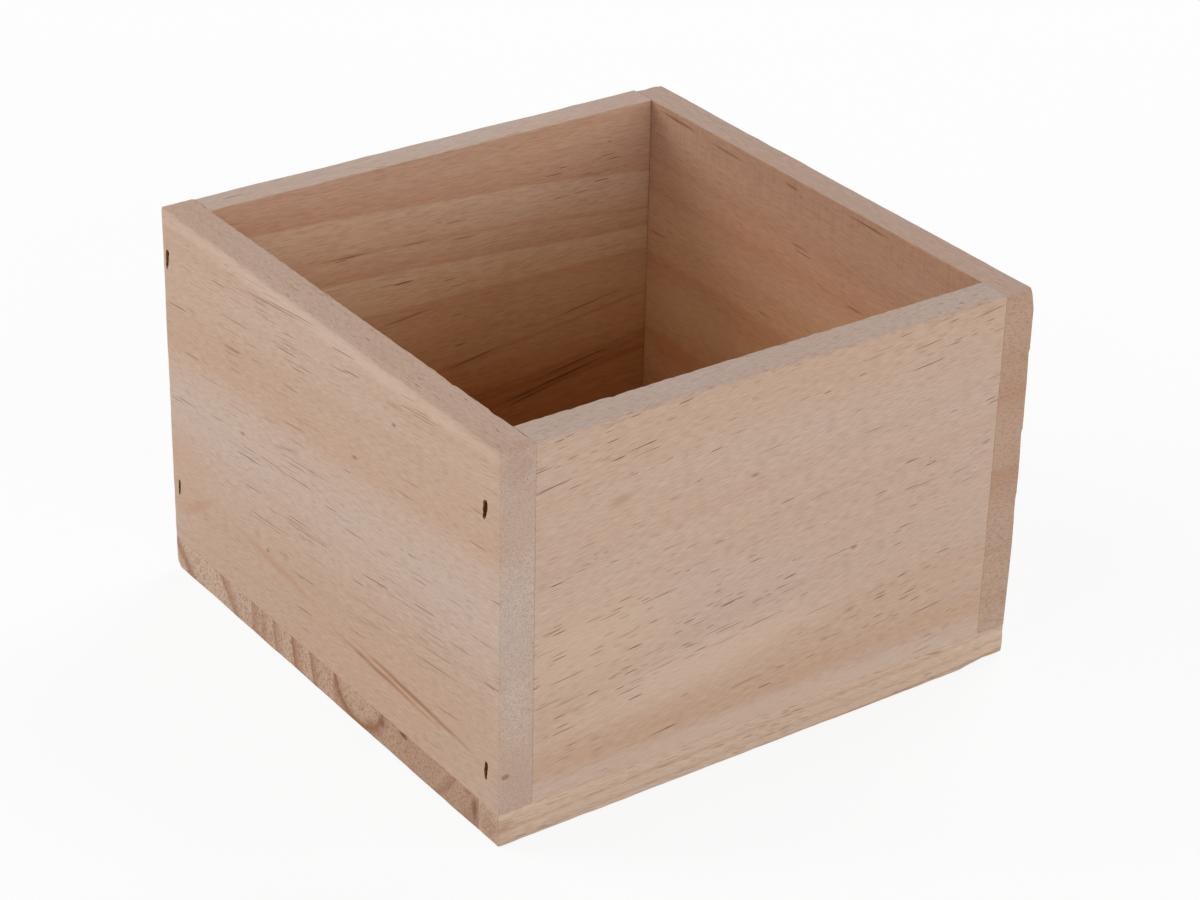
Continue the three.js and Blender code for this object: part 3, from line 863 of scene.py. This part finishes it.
line = add_node(staple_tree, "GeometryNodeMeshLine", {"Count": 6}).outputs[0]
bent = add_node(staple_tree, "GeometryNodeSetPosition", {"Geometry": line, "Position": corner}).outputs[0]
path = add_node(staple_tree, "GeometryNodeMeshToCurve", {"Mesh": bent}).outputs[0]
inputs = {"Curve": path, "Count": 4, "Radius": given["Bend"], "Limit Radius": True}
path = add_node(staple_tree, "GeometryNodeFilletCurve", inputs, mode="POLY").outputs[0]
inputs = {"Start Size": 1, "End Size": 1}
tips = add_node(staple_tree, "GeometryNodeCurveEndpointSelection", inputs).outputs[0]
inputs = {0: tips, 1: 1.0, 2: POINT_THINNESS}
thinness = add_node(staple_tree, "GeometryNodeSwitch", inputs, input_type="FLOAT").outputs[0]
inputs = {"Width": given["Wire Thickness"], "Height": given["Wire Width"]}
profile = add_node(staple_tree, "GeometryNodeCurvePrimitiveQuadrilateral", inputs).outputs[0]
inputs = {"Curve": path, "Profile Curve": profile, "Scale": thinness, "Fill Caps": True}
staple = add_node(staple_tree, "GeometryNodeCurveToMesh", inputs).outputs[0]
inputs = {"Name": "turn"}
turn = add_node(staple_tree, "GeometryNodeInputNamedAttribute", inputs, data_type="FLOAT_VECTOR").outputs[0]
rotation = add_node(staple_tree, "FunctionNodeEulerToRotation", {0: turn}).outputs[0]
inputs = {"Points": given["Places"], "Instance": staple, "Rotation": rotation}
driven = add_node(staple_tree, "GeometryNodeInstanceOnPoints", inputs).outputs[0]
solid = add_node(staple_tree, "GeometryNodeRealizeInstances", {0: driven}).outputs[0]
inputs = {"Geometry": solid, "Material": given["Wire"]}
staple_tree.links.new(add_node(staple_tree, "GeometryNodeSetMaterial", inputs).outputs[0], result[0])

BOTTOM_STAPLES = [name for stave in STAVES.values() for name in stave["staples"]]
places, turns = [], []
for names, outward in ((LEFT_STAPLES, LEFT_OUT), (RIGHT_STAPLES, RIGHT_OUT), (BOTTOM_STAPLES, BELOW)):
    for crown, along in crown_places(names, outward):
        places.append(crown - outward * STAPLE_SIZES["Wire Thickness"] / 2)
        turns.append(Matrix((along, outward.cross(along), outward)).transposed().to_euler())
places_mesh = bpy.data.meshes.new("staples")
places_mesh.from_pydata([tuple(point) for point in places], [], [])
attribute = places_mesh.attributes.new("turn", "FLOAT_VECTOR", "POINT")
for item, angles in zip(attribute.data, turns):
    item.vector = angles
staples = show(bpy.data.objects.new("staples", places_mesh))
modifier = staples.modifiers.new("driven_staples", "NODES")
modifier.node_group = staple_tree
values = {**STAPLE_SIZES, "Wire": wire}
for socket in staple_tree.interface.items_tree:
    if socket.name in values:
        modifier[socket.identifier] = values[socket.name]
as_mesh(staples)
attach(staples, "root")
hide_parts(*LEFT_STAPLES, *RIGHT_STAPLES, *BOTTOM_STAPLES)

# Floor and light: a plain white floor, five large soft lamps around the box, most of them low, and an even
# sky, as in a light tent.
FLOOR_SIZE = 8.0
FLOOR_DROP = 0.05 * MM
FLOOR_WHITE = 0.88
SKY_STRENGTH = 0.06
LAMP_DISTANCE = 3.2
LAMP_WIDTH = 1.8
LAMP_AIM = Vector((0, 0, 0.05))


def seen_directly(tree):
    """1 where the camera sees a thing, also in metal or through glass, and 0 where it only gives light."""
    rays = add_node(tree, "ShaderNodeLightPath").outputs
    seen = add_math(tree, "MAXIMUM", rays["Is Camera Ray"], rays["Is Glossy Ray"])
    return add_math(tree, "MAXIMUM", seen, rays["Is Transmission Ray"])


floor_mesh = bpy.data.meshes.new("floor")
half = FLOOR_SIZE / 2
floor_corners = [(-half, -half, 0), (half, -half, 0), (half, half, 0), (-half, half, 0)]
floor_mesh.from_pydata(floor_corners, [], [(0, 1, 2, 3)])
floor = show(bpy.data.objects.new("floor", floor_mesh))
floor.location.z = -FLOOR_DROP
floor_paper = bpy.data.materials.new("floor_paper")
floor_paper.use_nodes = True
tree = floor_paper.node_tree
shader = tree.nodes["Principled BSDF"]
shader.inputs["Base Color"].default_value = (0.9, 0.9, 0.9, 1)
shader.inputs["Roughness"].default_value = 0.9
shader.inputs["Specular IOR Level"].default_value = 0.0
glow = add_node(tree, "ShaderNodeEmission", {"Color": (1, 1, 1, 1), "Strength": 1.0})
veil = add_math(tree, "MULTIPLY", seen_directly(tree), FLOOR_WHITE)
mixed = add_node(tree, "ShaderNodeMixShader", {0: veil, 1: shader.outputs[0], 2: glow.outputs[0]})
tree.links.new(mixed.outputs[0], tree.nodes["Material Output"].inputs["Surface"])
floor_mesh.materials.append(floor_paper)

scene = bpy.context.scene
scene.view_settings.view_transform = "Standard"
world = bpy.data.worlds.new("studio")
scene.world = world
world.use_nodes = True
tree = world.node_tree
sky = tree.nodes["Background"]
sky.inputs["Color"].default_value = (1, 1, 1, 1)
sky.inputs["Strength"].default_value = SKY_STRENGTH
white = add_node(tree, "ShaderNodeBackground", {"Color": (1, 1, 1, 1), "Strength": 1.0})
inputs = {0: seen_directly(tree), 1: sky.outputs[0], 2: white.outputs[0]}
mixed = add_node(tree, "ShaderNodeMixShader", inputs)
tree.links.new(mixed.outputs[0], tree.nodes["World Output"].inputs["Surface"])


def soft_lamp(name, azimuth, elevation, height, power):
    """A wide lamp, turned to the box. Azimuth is counted from straight in front."""
    lamp = bpy.data.lights.new(name, "AREA")
    lamp.shape = "RECTANGLE"
    lamp.size = LAMP_WIDTH
    lamp.size_y = height
    lamp.energy = power
    around, up = math.radians(azimuth), math.radians(elevation)
    away = Vector((math.sin(around) * math.cos(up), -math.cos(around) * math.cos(up), math.sin(up)))
    piece = show(bpy.data.objects.new(name, lamp))
    piece.location = LAMP_AIM + LAMP_DISTANCE * away
    piece.rotation_euler = away.to_track_quat("Z", "Y").to_euler()


soft_lamp("front_softbox", -2, 16, 1.45, 45)
soft_lamp("front_right_softbox", 46, 19.5, 1.45, 27.5)
soft_lamp("back_right_softbox", 112, 46, 1.8, 48)
soft_lamp("left_softbox", -84, 26, 1.8, 33.5)
soft_lamp("back_left_softbox", -137, 31, 2.0, 59)

# Camera: a long lens from the front left, looking down into the box, with a slight roll. The whole box is in
# the frame, with white ground around it.
CAMERA_PLACE = (-0.40626, -0.57157, 0.42565)
CAMERA_AZIMUTH = math.radians(-35.700)
CAMERA_ELEVATION = math.radians(28.440)
CAMERA_ROLL = math.radians(1.351)
SENSOR_WIDTH = 36
LENS = 97.13
camera_data = bpy.data.cameras.new("camera")
camera_data.sensor_width = SENSOR_WIDTH
camera_data.lens = LENS
camera = show(bpy.data.objects.new("camera", camera_data))
camera.location = CAMERA_PLACE
tilt = Euler((math.pi / 2 - CAMERA_ELEVATION, 0, CAMERA_AZIMUTH)).to_matrix()
camera.rotation_euler = (tilt @ Euler((0, 0, CAMERA_ROLL)).to_matrix()).to_euler()
scene.camera = camera
